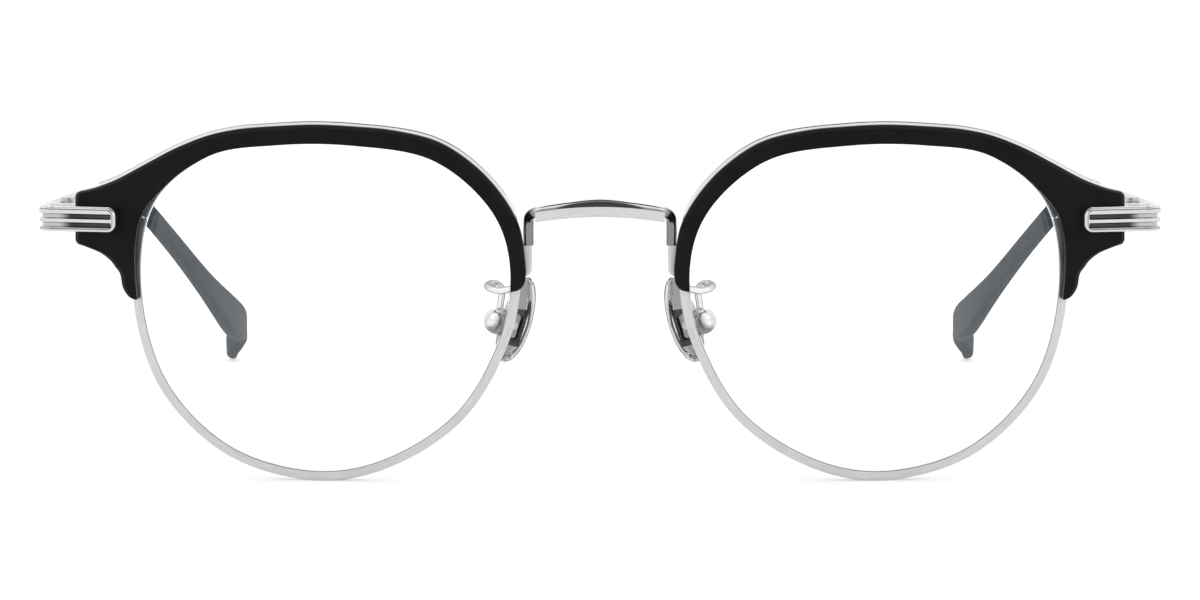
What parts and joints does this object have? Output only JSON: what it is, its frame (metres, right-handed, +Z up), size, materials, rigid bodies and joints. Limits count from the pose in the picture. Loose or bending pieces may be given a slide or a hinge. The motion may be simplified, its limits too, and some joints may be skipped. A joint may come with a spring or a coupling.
{
  "type": "half rim eyeglasses",
  "caption": "Eyeglasses with round metal rims, dark brows over the upper halves of the lenses, a faceted metal bridge, rocking nose pads and folding temples.",
  "frame": {"origin": "Middle of the footprint, on the surface that the open glasses stand on.", "axes": "+Z up, +X to the wearer's left, -Y the way the lenses look; the temples run back along +Y."},
  "size_m": [0.1424, 0.1404, 0.0456],
  "materials": {
    "lens": "clear lens plastic, coated",
    "rim_metal": "satin silver plate",
    "trim_metal": "polished silver plate",
    "brow_acetate": "satin black acetate",
    "bridge_metal": "polished silver plate",
    "endpiece_metal": "polished silver plate, darkened in the channels",
    "hinge_metal": "satin silver plate",
    "temple_metal": "satin silver plate",
    "tip_acetate": "slate grey acetate",
    "pad_silicone": "clear soft pad",
    "pad_core": "grey insert",
    "pad_metal": "polished silver plate",
    "screw_metal": "plain steel"
  },
  "bodies": {
    "front": {"lens_left": "lens", "lens_right": "lens", "rim_left": "rim_metal", "rim_right": "rim_metal", "brow_left": "brow_acetate", "brow_right": "brow_acetate", "brow_trim_left": "trim_metal", "brow_trim_right": "trim_metal", "brow_screw_left": "screw_metal", "brow_screw_right": "screw_metal", "bridge_bar": "bridge_metal", "bridge_plate": "bridge_metal", "bridge_foot_left": "rim_metal", "bridge_foot_right": "rim_metal", "pad_arm_left": "pad_metal", "pad_arm_right": "pad_metal", "pad_box_left": "pad_metal", "pad_box_right": "pad_metal", "pad_screw_left": "screw_metal", "pad_screw_right": "screw_metal", "endpiece_left": "endpiece_metal", "endpiece_right": "endpiece_metal", "rim_lock_upper_left": "rim_metal", "rim_lock_upper_right": "rim_metal", "rim_lock_lower_left": "rim_metal", "rim_lock_lower_right": "rim_metal", "rim_screw_left": "screw_metal", "rim_screw_right": "screw_metal", "hinge_front_left": "hinge_metal", "hinge_front_right": "hinge_metal", "hinge_screw_left": "screw_metal", "hinge_screw_right": "screw_metal"},
    "temple_left": {"hinge_temple_left": "hinge_metal", "temple_left": "temple_metal", "temple_tip_left": "tip_acetate"},
    "temple_right": {"hinge_temple_right": "hinge_metal", "temple_right": "temple_metal", "temple_tip_right": "tip_acetate"},
    "nose_pad_left": {"pad_core_left": "pad_core", "nose_pad_left": "pad_silicone"},
    "nose_pad_right": {"pad_core_right": "pad_core", "nose_pad_right": "pad_silicone"}
  },
  "joints": [
    {"name": "temple_left_fold", "type": "hinge", "parent": "front", "child": "temple_left", "pos_m": [0.0686, -0.0559, 0.03314], "axis": [0, 0, 1], "range_deg": [0, 86]},
    {"name": "temple_right_fold", "type": "hinge", "parent": "front", "child": "temple_right", "pos_m": [-0.0686, -0.0559, 0.03314], "axis": [0, 0, -1], "range_deg": [0, 80]},
    {"name": "nose_pad_left_rock", "type": "hinge", "parent": "front", "child": "nose_pad_left", "pos_m": [0.01166, -0.06203, 0.0194], "axis": [0.6018, 0.7986, 0], "range_deg": [-8, 8]},
    {"name": "nose_pad_right_rock", "type": "hinge", "parent": "front", "child": "nose_pad_right", "pos_m": [-0.01166, -0.06203, 0.0194], "axis": [-0.6018, 0.7986, 0], "range_deg": [-8, 8]}
  ]
}
